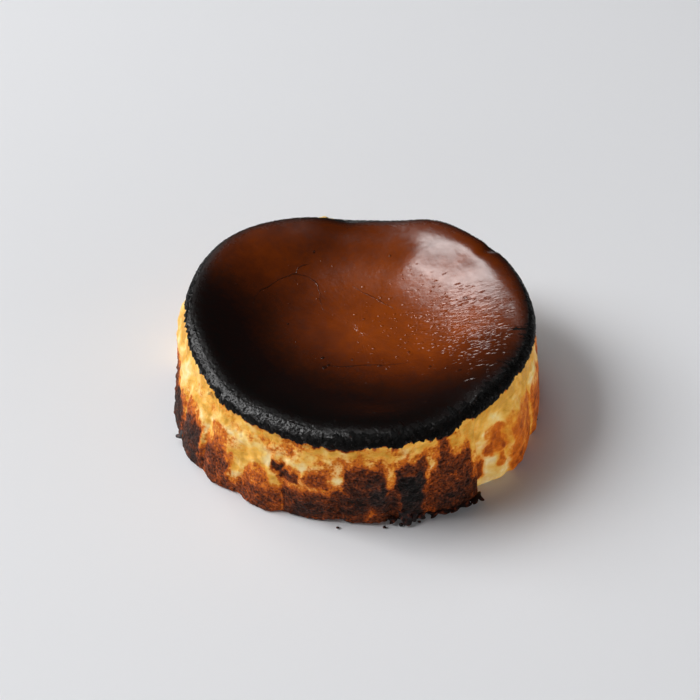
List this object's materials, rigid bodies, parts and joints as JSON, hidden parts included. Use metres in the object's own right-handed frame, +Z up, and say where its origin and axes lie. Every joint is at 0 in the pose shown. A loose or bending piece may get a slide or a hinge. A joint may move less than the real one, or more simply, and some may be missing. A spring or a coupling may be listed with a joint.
{
  "type": "burnt cheesecake",
  "caption": "Whole crustless burnt cheesecake: low round-square cake with a flared, pleated side, a raised dark rim and a shallow sunken top.",
  "frame": {"origin": "on the flat base, at the middle of the footprint's bounding box", "axes": "+Z up through the cake, -Y towards the viewer's side of the picture, +X to the viewer's right"},
  "size_m": [0.1584, 0.153, 0.0447],
  "materials": {
    "baked_custard": "soft baked custard, cream yellow with brown and charred patches, satin",
    "burnt_skin": "burnt sugar skin, near black at the rim and mahogany in the middle, semi-gloss"
  },
  "bodies": {
    "root": {"cheesecake": "baked_custard"}
  },
  "joints": []
}
